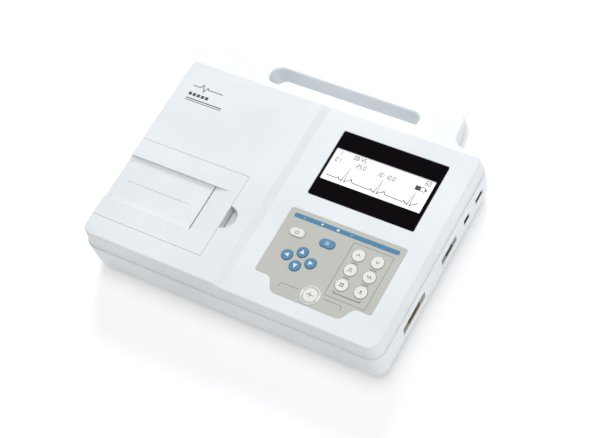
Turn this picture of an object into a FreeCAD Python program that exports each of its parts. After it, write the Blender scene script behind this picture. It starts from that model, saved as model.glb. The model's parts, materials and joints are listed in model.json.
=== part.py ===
"""Portable one-channel electrocardiograph with a thermal chart printer, as separate sub-parts.

Millimetres, +Z up. X runs left to right and Y runs front to back. The origin is on the table,
under the centre of the machine. The printer is on the left, and the display and keypad are on
the right.
"""
import FreeCAD, Part
import math
import os

V = FreeCAD.Vector

# ---- driving dimensions -------------------------------------------------------------------
LIP_X = 156.6            # half width over the lip of the lower case
LIP_FRONT = -130.0
BACK_WALL = 90.0
HANDLE_BACK = 130.0
HANDLE_ROOT_X = 124.0    # where the handle's arms leave the back wall
HANDLE_END_X = 118.0     # where they meet the grip
ROOT_R = 18.0            # hollow curve between the back wall and the handle's left arm
PARTING_Z = 41.0
FLOOR_Z = 5.0            # underside of the lower case; the feet reach down to zero
RIGHT_TOP = 58.0
LEFT_TOP = 61.5
STEP_LEFT = -9.4         # top and foot of the slope between the two top faces
STEP_RIGHT = -1.9
TOP_BACK = 82.0          # behind this line the top slopes down to the handle
HANDLE_TOP_BACK = 46.7
HANDLE_BOTTOM = 27.0
LIP = 1.2                # how far the lower case stands proud at the parting line
DRAFT_TOP = 3.0          # inset of the upper case's walls at DRAFT_Z
DRAFT_Z = 64.0
WALL = 2.6
TOP_EDGE_R = 2.0

SLOT_X = 78.5            # hand opening
SLOT_FRONT = 88.6
SLOT_BACK = 109.6
SLOT_R = 9.5

DOOR_RIGHT = -34.3
DOOR_FRONT = -105.9
DOOR_BACK = -16.5
DOOR_GAP = 0.35
DOOR_THICK = 2.4
HINGE_X = -150.0
HINGE_Z = 48.0
SKIRT_BOTTOM = 45.0
EAR_TOP = 6.4            # the ears' tops above the hinge axis; the door's wall clears them as it swings
PIN_R = 1.5
RUN = 0.05               # radial running clearance of every shaft and pin
CHANNEL_FRONT = -86.0
CHANNEL_BACK = -36.5
CHANNEL_DEPTH = 3.0
EXIT_X = -59.3
EXIT_WIDTH = 1.2
RAMP_RIGHT = -38.0
HOOK_SPAN = (-24.0, -20.0)
NOTCH_Y = -61.8
NOTCH_R = 12.0
NOTCH_FLOOR = 51.6

PLATEN_X = -66.0
PLATEN_Z = 50.5
PLATEN_R = 5.0
PLATEN_CORE_R = 2.5
GEAR_MODULE = 0.8
PLATEN_TEETH = 18
IDLER_TEETH = 24
PINION_TEETH = 12
GEAR_FRONT = -30.0
GEAR_THICK = 4.0
PINION_ANGLE = math.radians(-45)
GEAR_PLAY = 0.05         # added to the distance between two meshed gears
PINION_AWAY = GEAR_MODULE * (IDLER_TEETH + PINION_TEETH) / 2 + GEAR_PLAY
IDLER_Z = PLATEN_Z - GEAR_MODULE * (PLATEN_TEETH + IDLER_TEETH) / 2 - GEAR_PLAY
IDLER_BORE = 2.0
MOTOR_X = PLATEN_X + PINION_AWAY * math.cos(PINION_ANGLE)
MOTOR_Z = IDLER_Z + PINION_AWAY * math.sin(PINION_ANGLE)
MOTOR_R = 10.0
MOTOR_BOSS_R = 3.5
MOTOR_SHAFT_R = 1.0
MOTOR_SPAN = (-54.0, -34.0)
BUSH_R = 4.0
ROLL_X = -112.0
ROLL_Z = 31.0
ROLL_R = 20.0
CORE_R = 8.0
SPINDLE_R = 6.28
SPINDLE_PIN_R = 3.0
TUB = (-141.0, -88.0, -94.0, -28.0)
TUB_WALL = 1.6
TUB_TOP = 40.0
FRAME = (-80.0, -38.0, -98.0, -22.0)     # steel frame that carries the head and the motor
FRAME_SHEET = 2.0
FRAME_FLOOR = 10.6
HEAD_PIVOT = (-50.0, 40.0)
HEAD_PIN_R = 1.5
HEAD_BACK = -57.6        # where the ceramic head meets its heatsink

WINDOW = (22.4, 130.4, -9.2, 63.7)
VIEW = (23.75, 127.75, 8.6, 46.0)
WINDOW_THICK = 0.9
WINDOW_TOP = 57.9
KEYPAD = (17.4, 134.7, -97.6, -27.0)
TAB_FRONT = -111.8
OVERLAY = 0.4
KEY_RISE = 0.9           # height of a key cap over the overlay
KEY_GAP = 0.35           # gap around a key cap
KEY_FLANGE_TOP = 55.2
KEY_STEM_BOTTOM = 50.8
SHOULDERS = (33.5, 41.0, 111.0, 118.5)   # X of the curves beside the overlay's tab
BOARD = 1.6              # thickness of every circuit board
KEYBOARD_Z = 45.0
MAIN_Z = 18.0
MAIN_BOARD = (26.0, 146.0, -96.0, 70.0)
MAIN_HOLES = ((30.0, -92.0), (134.0, -92.0), (30.0, 66.0), (130.0, 66.0))
POWER_Z = 13.0
POWER_BOARD = (-128.0, -74.0, 0.0, 78.0)
POWER_HOLES = ((-124.0, 4.0), (-78.0, 4.0), (-124.0, 74.0), (-78.0, 74.0))

PORT_Z = 26.0            # openings in the right wall: middle in Y, width, height
PORT_HOLES = {"usb_socket": (62.3, 15.0, 7.4), "aux_socket": (36.8, 10.4, 7.0),
              "serial_connector": (1.7, 29.0, 9.6), "patient_connector": (-66.8, 41.4, 10.4)}
JACK_SPACING = {"serial_connector": 25.0, "patient_connector": 33.3}
JACK_R = 1.5
LEFT_PORT_Z = 24.0       # openings and sunk seats in the left wall
LEFT_HOLES = {"mains_inlet": (54.0, 27.4, 19.4), "power_switch": (26.0, 19.4, 12.4)}
LEFT_SEATS = {"mains_inlet": (31.4, 22.4), "power_switch": (22.0, 15.0)}
SEAT_X = -LIP_X + 2.0
ROCKER_DEPTH = 5.0
ROCKER_TILT = 6.0
EARTH_Y = 4.0
EARTH_FLOOR = -LIP_X + 11.0              # floor of the cup around the earth stud
SCREW_HEAD_Z = 20.0
BATTERY_DOOR = (-66.0, 18.0, -14.0, 70.0)
BATTERY = (-60.0, 12.0, -8.0, 64.0)
SPEAKER = (-2.0, -70.0)

ROUND_KEYS = {
    "key_lead_up": (97.2, -49.4), "key_lead_down": (116.0, -49.4),
    "key_gain": (97.2, -65.2), "key_filter": (116.0, -65.2),
    "key_mode": (97.2, -81.3), "key_mark": (116.0, -81.3),
}
ARROW_KEYS = {
    "key_arrow_left": (37.2, -73.0), "key_arrow_right": (61.2, -73.0),
    "key_arrow_up": (49.2, -65.7), "key_arrow_down": (49.2, -80.3),
}
OVAL_KEYS = {"key_power": (34.7, -49.5), "key_menu": (65.5, -49.5)}
START_KEY = (76.3, -101.0)
ROUND_R = 6.0
ARROW_R = 5.3
START_R = 6.9
OVAL_HALF = 7.4
OVAL_R = 4.2
RING_R = 9.2
SCREWS = [(-145, -118), (145, -118), (-145, 76), (145, 76), (-22, -118), (-22, 76)]
FEET = [(-128, -104), (128, -104), (-128, 62), (128, 62)]
FOOT_R = 8.0


# ---- small helpers ------------------------------------------------------------------------
def box(x0, x1, y0, y1, z0, z1):
    return Part.makeBox(x1 - x0, y1 - y0, z1 - z0, V(x0, y0, z0))


def cyl_x(y, z, x0, x1, r):
    return Part.makeCylinder(r, x1 - x0, V(x0, y, z), V(1, 0, 0))


def cyl_y(x, z, y0, y1, r):
    return Part.makeCylinder(r, y1 - y0, V(x, y0, z), V(0, 1, 0))


def cyl_z(x, y, z0, z1, r):
    return Part.makeCylinder(r, z1 - z0, V(x, y, z0), V(0, 0, 1))


def rounded_wire(corners, z):
    """A closed wire through (x, y, radius) corners at one height."""
    ends = []
    for i, (x, y, r) in enumerate(corners):
        here = V(x, y, z)
        before = V(corners[i - 1][0], corners[i - 1][1], z)
        after = V(corners[(i + 1) % len(corners)][0], corners[(i + 1) % len(corners)][1], z)
        u = (before - here).normalize()
        w = (after - here).normalize()
        half = u.getAngle(w) / 2
        run = r / math.tan(half)
        bisector = (u + w).normalize()
        middle = here + bisector * (r / math.sin(half) - r)
        ends.append((here + u * run, middle, here + w * run))
    edges = []
    for i, (start, middle, end) in enumerate(ends):
        edges.append(Part.Arc(start, middle, end).toShape())
        edges.append(Part.LineSegment(end, ends[(i + 1) % len(ends)][0]).toShape())
    return Part.Wire(edges)


def plate(corners, z0, z1):
    return Part.Face(rounded_wire(corners, z0)).extrude(V(0, 0, z1 - z0))


def rounded_box(x0, x1, y0, y1, z0, z1, r):
    return plate(rectangle(x0, x1, y0, y1, r), z0, z1)


def rectangle(x0, x1, y0, y1, r):
    return [(x0, y0, r), (x1, y0, r), (x1, y1, r), (x0, y1, r)]


def stadium(x, y, half, r, z0, z1):
    """An upright solid with a slot-shaped outline, long in X."""
    middle = box(x - half + r, x + half - r, y - r, y + r, z0, z1)
    return middle.fuse([cyl_z(x - half + r, y, z0, z1, r), cyl_z(x + half - r, y, z0, z1, r)]).removeSplitter()


def prism(points, along, start, length):
    """A polygon in the plane across one axis, given as pairs, extruded along that axis."""
    place = {"x": lambda a, b: V(start, a, b), "y": lambda a, b: V(a, start, b)}[along]
    direction = {"x": V(length, 0, 0), "y": V(0, length, 0)}[along]
    corners = [place(a, b) for a, b in points]
    return Part.Face(Part.makePolygon(corners + corners[:1])).extrude(direction)


def loft(lower, z0, upper, z1):
    return Part.makeLoft([rounded_wire(lower, z0), rounded_wire(upper, z1)], True, True)


def edges_where(shape, test):
    """The edges whose midpoint and ends pass a test on points."""
    chosen = []
    for edge in shape.Edges:
        middle = edge.valueAt((edge.FirstParameter + edge.LastParameter) / 2)
        if all(test(p) for p in [middle] + [v.Point for v in edge.Vertexes]):
            chosen.append(edge)
    return chosen


def save(name, *solids):
    shape = solids[0] if len(solids) == 1 else Part.Compound(list(solids))
    if not shape.isValid() or any(s.Volume <= 0 for s in shape.Solids):
        raise RuntimeError("bad shape: " + name)
    shape.exportStep("parts/%s.step" % name)


# ---- casings ------------------------------------------------------------------------------
def shell_outline(inset):
    """The machine's plan with the handle, drawn in from the lip by an inset."""
    side = LIP_X - inset
    back = BACK_WALL - inset
    rear = HANDLE_BACK - inset
    root = HANDLE_ROOT_X - inset
    end = HANDLE_END_X - inset
    return [
        (-side, LIP_FRONT + inset, 14 - inset), (side, LIP_FRONT + inset, 14 - inset),
        (side, back, 16 - inset), (root, back, 11 + inset), (end, rear, 17 - inset),
        (-end, rear, 17 - inset), (-root, back, ROOT_R + inset), (-side, back, 16 - inset),
    ]


def body_outline(inset):
    side = LIP_X - inset
    front = LIP_FRONT + inset
    back = BACK_WALL - inset
    return rectangle(-side, side, front, back, 14 - inset)


def slot(z0, z1):
    return rounded_box(-SLOT_X, SLOT_X, SLOT_FRONT, SLOT_BACK, z0, z1, SLOT_R)


def upper_case():
    """Top casing: two flat tops with a slope between them, and the upper half of the handle."""
    shape = loft(shell_outline(LIP), PARTING_Z, shell_outline(DRAFT_TOP), DRAFT_Z)
    over_top = prism(
        [(-170, LEFT_TOP), (STEP_LEFT, LEFT_TOP), (STEP_RIGHT, RIGHT_TOP), (170, RIGHT_TOP),
         (170, 70), (-170, 70)], "y", -140, TOP_BACK + 140)
    back_slope = (RIGHT_TOP - HANDLE_TOP_BACK) / (HANDLE_BACK - TOP_BACK)
    over_handle = prism(
        [(TOP_BACK, RIGHT_TOP), (140, RIGHT_TOP - back_slope * (140 - TOP_BACK)), (140, 70),
         (TOP_BACK, 70)], "x", -170, 340)
    shape = shape.cut([over_top, over_handle, slot(PARTING_Z - 1, 70)])
    rim = edges_where(shape, lambda p: p.z > HANDLE_TOP_BACK - 1.5)
    shape = shape.makeFillet(TOP_EDGE_R, [e for e in rim if is_rim(e)])
    inner = LIP + 4.0
    hollow = [
        plate(body_outline(inner), PARTING_Z - 1, RIGHT_TOP - WALL).cut(
            box(-200, 200, SLOT_FRONT - WALL, 200, 0, 100)),
        rounded_box(-LIP_X + inner, STEP_LEFT - WALL, LIP_FRONT + inner, TOP_BACK - WALL,
                    RIGHT_TOP - 8, LEFT_TOP - WALL, 6),
        box(-106, 106, SLOT_BACK + WALL, HANDLE_BACK - 5, PARTING_Z - 1, PARTING_Z + 2.6),
    ]
    shape = shape.cut(hollow)
    notch_cup = cyl_z(DOOR_RIGHT, NOTCH_Y, NOTCH_FLOOR - 1.6, LEFT_TOP - 1, NOTCH_R + 1.6)
    shape = shape.fuse(notch_cup.common(box(DOOR_RIGHT + 0.5, 0, -100, 0, 0, 100)))
    bosses = [cyl_z(x, y, PARTING_Z, (LEFT_TOP if x < STEP_LEFT else RIGHT_TOP) - 1, 4.0)
              for x, y in SCREWS]
    shape = shape.fuse(bosses)
    shape = shape.cut([cyl_z(x, y, PARTING_Z - 1, PARTING_Z + 11, 1.3) for x, y in SCREWS])
    notch = cyl_z(DOOR_RIGHT, NOTCH_Y, NOTCH_FLOOR, 70, NOTCH_R)
    door_hole = box(-170, DOOR_RIGHT + DOOR_GAP, DOOR_FRONT - DOOR_GAP, DOOR_BACK + DOOR_GAP,
                    PARTING_Z + 1, 70)
    shape = shape.cut([notch, door_hole])
    rail = box(-LIP_X + inner - 1, HINGE_X + 5, DOOR_FRONT, DOOR_BACK, PARTING_Z, PARTING_Z + 1)
    ears = [box(HINGE_X - 1.6, HINGE_X + 4, y0, y1, PARTING_Z, HINGE_Z + EAR_TOP)
            for y0, y1 in hinge_ears()]
    shape = shape.fuse([rail] + ears)
    pins = [cyl_y(HINGE_X, HINGE_Z, y0, y1, PIN_R) for y0, y1 in pin_spans()]
    x0, x1, y0, y1 = WINDOW
    shape = shape.cut(pins + [
        rounded_box(x0 - 0.3, x1 + 0.3, y0 - 0.3, y1 + 0.3, WINDOW_TOP - WINDOW_THICK, 70, 1.8),
        rounded_box(VIEW[0] - 0.4, VIEW[1] + 0.8, VIEW[2] - 0.8, VIEW[3] + 0.8, 50, 70, 0.8),
        plate(keypad_outline(0.15), RIGHT_TOP - OVERLAY, 70),
    ] + [key_hole(name, 50, 70) for name in key_names()])
    return shape.removeSplitter()


def is_rim(edge):
    """Outer top edges: every one but the lines where two of the top faces meet."""
    bounds = edge.BoundBox
    along_y = bounds.XLength < 1
    middle = edge.valueAt((edge.FirstParameter + edge.LastParameter) / 2)
    if along_y and abs(middle.x - STEP_LEFT) < 1:
        return False
    if along_y and abs(middle.x - STEP_RIGHT) < 1:
        return False
    across = bounds.YLength < 0.1 and abs(middle.y - TOP_BACK) < 0.1
    if across and middle.z < RIGHT_TOP + 0.1:
        return False
    if bounds.ZLength > 2 and bounds.YLength < 1:
        return bounds.XLength > 2
    return True


def lower_case():
    """Bottom casing: rounded tray with the proud lip, port openings and the handle's lower half."""
    tray = loft(body_outline(1.6), FLOOR_Z, body_outline(0), PARTING_Z - 8)
    tray = tray.fuse(plate(body_outline(0), PARTING_Z - 8, PARTING_Z)).removeSplitter()
    tray = tray.makeFillet(8.0, edges_where(tray, lambda p: p.z < FLOOR_Z + 0.01))
    grip = plate(shell_outline(0), HANDLE_BOTTOM, PARTING_Z)
    grip = grip.cut([slot(0, 100)])
    grip = grip.makeFillet(4.0, edges_where(grip, lambda p: p.z < HANDLE_BOTTOM + 0.01 and p.y > 84))
    grip = grip.common(box(-200, 200, 80, 200, 0, 100))
    tray = tray.cut(slot(0, 100))
    shape = tray.fuse(grip)
    shape = shape.cut([
        plate(body_outline(4.0), FLOOR_Z + WALL, PARTING_Z + 1).cut(
            box(-200, 200, SLOT_FRONT - WALL, 200, 0, 100)),
        box(-106, 106, SLOT_BACK + WALL, HANDLE_BACK - 5, HANDLE_BOTTOM + 3, PARTING_Z + 1),
    ])
    shape = shape.fuse([cyl_z(x, y, FLOOR_Z + 1, PARTING_Z, 4.6) for x, y in SCREWS])
    shape = shape.fuse(cyl_x(EARTH_Y, LEFT_PORT_Z, -LIP_X + 3, EARTH_FLOOR + 2, 9.6))
    cuts = [cyl_z(x, y, 0, 50, 1.6) for x, y in SCREWS]
    cuts += [cyl_z(x, y, 0, SCREW_HEAD_Z, 3.2) for x, y in SCREWS]
    cuts += [cyl_z(x, y, 0, FLOOR_Z + 1, FOOT_R + 0.1) for x, y in FEET]
    x0, x1, y0, y1 = BATTERY_DOOR
    cuts += [rounded_box(x0 - 0.3, x1 + 0.3, y0 - 0.3, y1 + 0.3, 0, FLOOR_Z + 1.8, 3.3),
             box(x0 + 4, x1 - 4, y0 + 4, y1 - 4, 0, 20)]
    cuts += [cyl_z(x, y, 0, FLOOR_Z + 2.2, 1.1) for x, y in battery_screws()]
    cuts += [box(SPEAKER[0] - 11, SPEAKER[0] + 11, SPEAKER[1] + dy - 1, SPEAKER[1] + dy + 1, 0, 9)
             for dy in (-8, -4, 0, 4, 8)]
    cuts += [box(LIP_X - 6, LIP_X + 2, y - w / 2, y + w / 2, PORT_Z - h / 2, PORT_Z + h / 2)
             for y, w, h in PORT_HOLES.values()]
    cuts += [box(-LIP_X - 2, -LIP_X + 6, y - w / 2, y + w / 2, LEFT_PORT_Z - h / 2,
                 LEFT_PORT_Z + h / 2) for y, w, h in LEFT_HOLES.values()]
    for name, (w, h) in LEFT_SEATS.items():
        y = LEFT_HOLES[name][0]
        cuts.append(box(-LIP_X - 2, SEAT_X, y - w / 2, y + w / 2, LEFT_PORT_Z - h / 2,
                        LEFT_PORT_Z + h / 2))
    cuts.append(cyl_x(EARTH_Y, LEFT_PORT_Z, -LIP_X - 2, EARTH_FLOOR + 4, 3.1))
    cuts.append(cyl_x(EARTH_Y, LEFT_PORT_Z, -LIP_X - 2, EARTH_FLOOR, 8.0))
    return shape.cut(cuts).removeSplitter()


# ---- printer ------------------------------------------------------------------------------
def hinge_ears():
    """Y spans of the two ears of the upper case that carry the hinge pins."""
    return [(DOOR_FRONT + 12, DOOR_FRONT + 17), (DOOR_BACK - 17, DOOR_BACK - 12)]


def pin_spans():
    return [(y0 - 8, y1 + 8) for y0, y1 in hinge_ears()]


def wall_inset(z):
    """How far the upper case's wall stands in from the lip at a height."""
    return LIP + (DRAFT_TOP - LIP) * (z - PARTING_Z) / (DRAFT_Z - PARTING_Z)


def printer_door():
    """Paper door: a flat lid over the left wall with a sunk paper channel and an exit slot."""
    outer_x = -LIP_X + wall_inset(LEFT_TOP)
    lid = prism([(-LIP_X + wall_inset(SKIRT_BOTTOM), SKIRT_BOTTOM), (outer_x, LEFT_TOP),
                 (DOOR_RIGHT, LEFT_TOP), (DOOR_RIGHT, SKIRT_BOTTOM)],
                "y", DOOR_FRONT, DOOR_BACK - DOOR_FRONT)
    corner = edges_where(lid, lambda p: p.x < outer_x + 0.1 and p.z > LEFT_TOP - 0.1)
    lid = lid.makeFillet(TOP_EDGE_R, corner)
    inside = box(outer_x + DOOR_THICK, DOOR_RIGHT + 1, DOOR_FRONT - 1, DOOR_BACK + 1, 0,
                 LEFT_TOP - DOOR_THICK)
    lid = lid.cut(inside)
    under_channel = box(outer_x + 1, RAMP_RIGHT, CHANNEL_FRONT - 2, CHANNEL_BACK + 2,
                        LEFT_TOP - CHANNEL_DEPTH - DOOR_THICK, LEFT_TOP - 1)
    lid = lid.fuse(under_channel)
    ramp_r = ((RAMP_RIGHT - EXIT_X) ** 2 + CHANNEL_DEPTH ** 2) / (2 * CHANNEL_DEPTH)
    ramp = cyl_y(RAMP_RIGHT, LEFT_TOP - ramp_r, CHANNEL_FRONT, CHANNEL_BACK, ramp_r)
    channel = box(outer_x - 5, RAMP_RIGHT, CHANNEL_FRONT, CHANNEL_BACK, LEFT_TOP - CHANNEL_DEPTH,
                  LEFT_TOP + 5).cut(ramp.common(box(EXIT_X, 0, -200, 0, 0, 100)))
    exit_slot = box(EXIT_X - EXIT_WIDTH, EXIT_X, CHANNEL_FRONT, CHANNEL_BACK, 50, 70)
    groove = box(outer_x + 11, EXIT_X - 13, -62.8, -61.8, LEFT_TOP - CHANNEL_DEPTH - 0.5, 70)
    ear_gaps = [box(-LIP_X, outer_x + DOOR_THICK + 0.1, y0 - 0.4, y1 + 0.4, 40,
                    HINGE_Z + EAR_TOP + 0.8)
                for y0, y1 in hinge_ears()]
    lid = lid.cut([channel, exit_slot, groove] + ear_gaps)
    for y0, y1 in knuckles():
        barrel = cyl_y(HINGE_X, HINGE_Z, y0, y1, 3.2)
        web = box(HINGE_X - 1.2, HINGE_X + 1.2, y0, y1, HINGE_Z, LEFT_TOP - DOOR_THICK)
        lid = lid.fuse([barrel, web])
    for y0, y1 in bracket_spans():
        lid = lid.fuse(box(PLATEN_X - 6, PLATEN_X + 5.4, y0, y1, PLATEN_Z - 3.8, LEFT_TOP - DOOR_THICK))
    x_mid = (DOOR_RIGHT + RAMP_RIGHT) / 2
    hook = box(x_mid - 1.2, x_mid + 0.8, *HOOK_SPAN, 50, LEFT_TOP - DOOR_THICK)
    behind_notch = box(DOOR_RIGHT - 2, DOOR_RIGHT, NOTCH_Y - NOTCH_R - 1, NOTCH_Y + NOTCH_R + 1,
                       NOTCH_FLOOR - 0.6, LEFT_TOP - 1)
    lid = lid.fuse([hook, behind_notch])
    bores = [cyl_y(HINGE_X, HINGE_Z, y0 - 1, y1 + 1, PIN_R + RUN) for y0, y1 in knuckles()]
    bores += [cyl_y(PLATEN_X, PLATEN_Z, y0 - 1, y1 + 1, BUSH_R) for y0, y1 in bracket_spans()]
    return lid.cut(bores).removeSplitter()


def knuckles():
    """Y spans of the door's hinge barrels, each beside an ear of the case."""
    spans = []
    for y0, y1 in hinge_ears():
        spans += [(y0 - 8.4, y0 - 0.4), (y1 + 0.4, y1 + 8.4)]
    return spans


def bracket_spans():
    return [(CHANNEL_FRONT - 6, CHANNEL_FRONT - 2), (CHANNEL_BACK + 2, CHANNEL_BACK + 5)]


def gear(teeth, x, z, phase, y0, y1, bore):
    """A spur gear about Y with straight-flanked teeth; phase is the angle of one tooth."""
    pitch = GEAR_MODULE * teeth / 2
    root = pitch - 1.2 * GEAR_MODULE
    tip = pitch + 0.85 * GEAR_MODULE
    half_root = 0.88 * GEAR_MODULE / root
    half_tip = 0.30 * GEAR_MODULE / tip
    points = []
    for i in range(teeth):
        a = phase + 2 * math.pi * i / teeth
        for radius, offset in ((root, -half_root), (tip, -half_tip), (tip, half_tip), (root, half_root)):
            points.append((x + radius * math.cos(a + offset), z + radius * math.sin(a + offset)))
    corners = [V(px, y0, pz) for px, pz in points]
    blank = Part.Face(Part.makePolygon(corners + corners[:1])).extrude(V(0, y1 - y0, 0))
    return blank.cut(cyl_y(x, z, y0 - 1, y1 + 1, bore))


def mesh_phase(teeth_a, phase_a, direction, teeth_b):
    """The phase that puts gear b in mesh with gear a, whose centre lies the other way."""
    step_a = 2 * math.pi / teeth_a
    step_b = 2 * math.pi / teeth_b
    turn = (direction - phase_a) / step_a % 1
    return direction + math.pi - (0.5 - turn) * step_b


def save_platen(gear_span):
    """The platen: a rubbered shaft with a gear, turning in two bushes of the door."""
    shaft = cyl_y(PLATEN_X, PLATEN_Z, CHANNEL_FRONT - 6.5, gear_span[1] + 0.6, PLATEN_CORE_R)
    save("platen_shaft", shaft)
    tube = cyl_y(PLATEN_X, PLATEN_Z, CHANNEL_FRONT, CHANNEL_BACK, PLATEN_R)
    save("platen_rubber", tube.cut(shaft))
    bushes = []
    for y0, y1 in bracket_spans():
        bush = cyl_y(PLATEN_X, PLATEN_Z, y0, y1, BUSH_R)
        bushes.append(bush.cut(cyl_y(PLATEN_X, PLATEN_Z, y0 - 1, y1 + 1, PLATEN_CORE_R + RUN)))
    save("platen_bushes", *bushes)
    save("platen_gear", gear(PLATEN_TEETH, PLATEN_X, PLATEN_Z, 0.0, *gear_span, PLATEN_CORE_R))


def save_motor(gear_span):
    """Idler and pinion in mesh below the platen's gear, and the stepper motor."""
    idler_phase = mesh_phase(PLATEN_TEETH, 0.0, -math.pi / 2, IDLER_TEETH)
    save("idler_gear", gear(IDLER_TEETH, PLATEN_X, IDLER_Z, idler_phase, *gear_span, IDLER_BORE + RUN))
    pinion_phase = mesh_phase(IDLER_TEETH, idler_phase, PINION_ANGLE, PINION_TEETH)
    pinion = gear(PINION_TEETH, MOTOR_X, MOTOR_Z, pinion_phase, *gear_span, MOTOR_SHAFT_R)
    back, face = MOTOR_SPAN
    shaft = cyl_y(MOTOR_X, MOTOR_Z, face - 6, gear_span[1] + 0.5, MOTOR_SHAFT_R)
    save("motor_pinion", pinion.fuse(shaft))
    body = cyl_y(MOTOR_X, MOTOR_Z, back, face, MOTOR_R)
    boss = cyl_y(MOTOR_X, MOTOR_Z, face, face + 2.6, MOTOR_BOSS_R)
    plug = box(MOTOR_X - 6, MOTOR_X + 6, back + 4, face - 4, MOTOR_Z - MOTOR_R - 1.5, MOTOR_Z)
    bore = cyl_y(MOTOR_X, MOTOR_Z, face - 6.2, face + 4, MOTOR_SHAFT_R + RUN)
    save("stepper_motor", body.fuse([boss, plug]).cut(bore))


def save_roll():
    """The chart roll on its core and spindle, which lies in the saddles of the tub."""
    roll = cyl_y(ROLL_X, ROLL_Z, CHANNEL_FRONT, CHANNEL_BACK, ROLL_R)
    core = cyl_y(ROLL_X, ROLL_Z, CHANNEL_FRONT, CHANNEL_BACK, CORE_R)
    save("paper_roll", roll.cut(core))
    bore = cyl_y(ROLL_X, ROLL_Z, CHANNEL_FRONT - 1, CHANNEL_BACK + 1, SPINDLE_R + 0.07)
    save("roll_core", core.cut(bore))
    x0, x1, y0, y1 = TUB
    spindle = cyl_y(ROLL_X, ROLL_Z, CHANNEL_FRONT - 1, CHANNEL_BACK + 1, SPINDLE_R)
    pins = cyl_y(ROLL_X, ROLL_Z, y0 + 1.2, y1 - 1.2, SPINDLE_PIN_R)
    save("roll_spindle", spindle.fuse(pins))
    floor = FLOOR_Z + WALL
    tub = box(x0, x1, y0, y1, floor, TUB_TOP)
    tub = tub.cut(box(x0 + TUB_WALL, x1 - TUB_WALL, y0 + TUB_WALL, y1 - TUB_WALL, floor + TUB_WALL, 50))
    half = SPINDLE_PIN_R + RUN
    saddle = box(ROLL_X - half, ROLL_X + half, y0 + 0.8, y1 - 0.8, ROLL_Z, 50)
    save("paper_tub", tub.cut([saddle, cyl_y(ROLL_X, ROLL_Z, y0 + 0.8, y1 - 0.8, half)]))


def save_printer_frame():
    """Folded steel frame with the head's pivot and the idler's pin."""
    x0, x1, y0, y1 = FRAME
    face = MOTOR_SPAN[1]
    base = box(x0, x1, y0, y1, FLOOR_Z + WALL, FRAME_FLOOR)
    rear_plate = box(x0, x1, y1 - FRAME_SHEET, y1, FRAME_FLOOR, 46)
    front_plate = box(x0, x1, y0, y0 + FRAME_SHEET, FRAME_FLOOR, 46)
    motor_plate = box(x0 + 2, x1 - 6, face, face + FRAME_SHEET, FRAME_FLOOR, 38)
    back_wall = box(x1 - FRAME_SHEET, x1, y0 + FRAME_SHEET, y1 - FRAME_SHEET, FRAME_FLOOR, 52)
    frame = base.fuse([rear_plate, front_plate, motor_plate, back_wall])
    pivot = cyl_y(*HEAD_PIVOT, y0, y1, HEAD_PIN_R)
    frame = frame.cut([pivot, cyl_y(PLATEN_X, IDLER_Z, face - 2, y1 + 2, IDLER_BORE + 0.6),
                       cyl_y(MOTOR_X, MOTOR_Z, face - 2, face + 4, MOTOR_BOSS_R)])
    save("printer_frame", frame)
    idler_pin = cyl_y(PLATEN_X, IDLER_Z, face, GEAR_FRONT - 0.3, IDLER_BORE + 0.6)
    idler_pin = idler_pin.fuse(cyl_y(PLATEN_X, IDLER_Z, face, GEAR_FRONT + GEAR_THICK + 0.8, IDLER_BORE))
    save("frame_pins", pivot, idler_pin)


def save_print_head():
    """The thermal head on its finned heatsink, and the leaf springs that press it up."""
    sink = box(HEAD_BACK, -46, CHANNEL_FRONT, CHANNEL_BACK, 36.5, 53.5)
    fins = [box(-52, -45, CHANNEL_FRONT - 1, CHANNEL_BACK + 1, z, z + 1.6) for z in (43, 46, 49)]
    bore = cyl_y(*HEAD_PIVOT, CHANNEL_FRONT - 1, CHANNEL_BACK + 1, HEAD_PIN_R + RUN)
    save("head_heatsink", sink.cut(fins + [bore]))
    save("print_head", box(HEAD_BACK - 3, HEAD_BACK, CHANNEL_FRONT + 0.5, CHANNEL_BACK - 0.5, 45, 54.6))
    leaf = [(-40, 41), (-40, 42), (-44.9, 51.4), (-45.4, 51.2)]
    save("head_springs", *[prism(leaf, "y", y, 8) for y in (-80, -51)])


def save_door_fittings():
    """The hinge pins, and the catch that the door's hook snaps behind."""
    _, hook_back = HOOK_SPAN
    post = box(DOOR_RIGHT - 0.6, DOOR_RIGHT + 3, *HOOK_SPAN, 46, 52)
    foot = box(FRAME[1], DOOR_RIGHT + 3, hook_back - 4, hook_back - 2.5, 44, 47)
    save("door_catch", post.fuse(foot))
    save("door_hinge_pins", *[cyl_y(HINGE_X, HINGE_Z, y0, y1, PIN_R) for y0, y1 in pin_spans()])


# ---- display and keypad -------------------------------------------------------------------
def keypad_outline(gap):
    """The overlay's outline, with the lower tab between two rounded shoulders."""
    x0, x1, y0, y1 = KEYPAD
    x0, x1, y0, y1, tab = x0 - gap, x1 + gap, y0 - gap, y1 + gap, TAB_FRONT - gap
    left_out, left_in, right_in, right_out = SHOULDERS
    return [(x0, y0, 2.5), (left_out, y0, 7.5), (left_in, tab, 7.5), (right_in, tab, 7.5),
            (right_out, y0, 7.5), (x1, y0, 2.5), (x1, y1, 2.5), (x0, y1, 2.5)]


def key_names():
    return list(ROUND_KEYS) + list(ARROW_KEYS) + list(OVAL_KEYS) + ["key_start"]


def key_centre(name):
    if name == "key_start":
        return START_KEY
    return {**ROUND_KEYS, **ARROW_KEYS, **OVAL_KEYS}[name]


def key_solid(name, grow, z0, z1):
    """A key's outline, grown by a margin, between two heights."""
    x, y = key_centre(name)
    if name in OVAL_KEYS:
        return stadium(x, y, OVAL_HALF + grow, OVAL_R + grow, z0, z1)
    radius = START_R if name == "key_start" else ROUND_R if name in ROUND_KEYS else ARROW_R
    return cyl_z(x, y, z0, z1, radius + grow)


def key_hole(name, z0, z1):
    return key_solid(name, KEY_GAP, z0, z1)


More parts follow.
